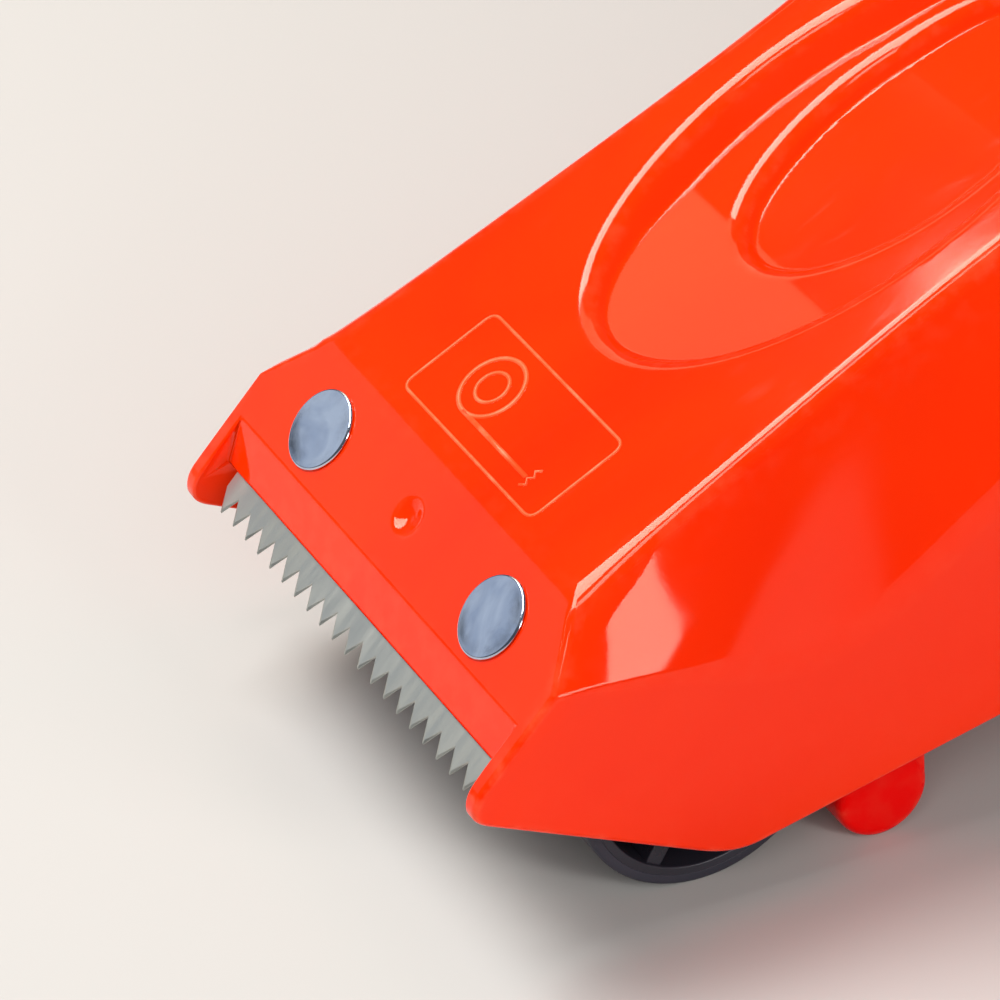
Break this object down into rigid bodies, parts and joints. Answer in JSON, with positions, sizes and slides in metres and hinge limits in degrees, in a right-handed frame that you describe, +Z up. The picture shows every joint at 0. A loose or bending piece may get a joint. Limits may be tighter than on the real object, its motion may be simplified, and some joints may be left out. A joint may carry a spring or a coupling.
{
  "type": "tape dispenser",
  "caption": "Hand-held dispenser for wide packing tape: arched plastic shell, toothed blade on a sloping front plate, spoked press roller, swinging tape guide and rotating hub drums.",
  "frame": {"origin": "on the table, under the middle of the dispenser's bounding box", "axes": "+X across the tape towards the cheek on the right of a user who faces the blade end from behind, +Y from the blade end towards the rear, +Z up, with the dispenser standing on its roller and the two lobes"},
  "size_m": [0.0748, 0.1996, 0.0985],
  "materials": {
    "shell": "glossy orange-red moulded plastic, finely scuffed",
    "guide_plastic": "glossy red moulded plastic",
    "blade_steel": "ground strip steel, grain across the teeth",
    "rivet_chrome": "bright plated dome",
    "zinc_steel": "bright zinc plate",
    "spring_steel": "dull spring steel",
    "roller_plastic": "satin dark grey moulding",
    "roller_rubber": "ground rubber sleeve, matt",
    "drum_plastic": "satin black moulding",
    "nylon": "natural nylon"
  },
  "bodies": {
    "body": {"body_shell": "shell", "blade": "blade_steel", "blade_backing": "zinc_steel", "rivet_left": "rivet_chrome", "rivet_right": "rivet_chrome", "roller_axle": "zinc_steel", "roller_washer_left": "nylon", "roller_washer_right": "nylon", "guide_pin": "zinc_steel", "hub_bolt_left": "zinc_steel", "hub_bolt_right": "zinc_steel", "hub_spring_left": "spring_steel", "hub_spring_right": "spring_steel", "hub_washer_left": "nylon", "hub_washer_right": "nylon", "hub_nut_left": "zinc_steel", "hub_nut_right": "zinc_steel"},
    "press_roller": {"roller_core": "roller_plastic", "roller_tyre": "roller_rubber"},
    "guide": {"tape_guide": "guide_plastic"},
    "drum_left": {"hub_drum_left": "drum_plastic"},
    "drum_right": {"hub_drum_right": "drum_plastic"}
  },
  "joints": [
    {"name": "press_roller_spin", "type": "hinge", "parent": "body", "child": "press_roller", "pos_m": [0, -0.07045, 0.0145], "axis": [1, 0, 0], "continuous": true},
    {"name": "tape_guide_swing", "type": "hinge", "parent": "body", "child": "guide", "pos_m": [0, -0.05015, 0.0205], "axis": [1, 0, 0], "range_deg": [-7, 40]},
    {"name": "drum_left_spin", "type": "hinge", "parent": "body", "child": "drum_left", "pos_m": [-0.024, 0.04209, 0.0386], "axis": [1, 0, 0], "continuous": true},
    {"name": "drum_right_spin", "type": "hinge", "parent": "body", "child": "drum_right", "pos_m": [0.024, 0.04209, 0.0386], "axis": [1, 0, 0], "continuous": true}
  ]
}
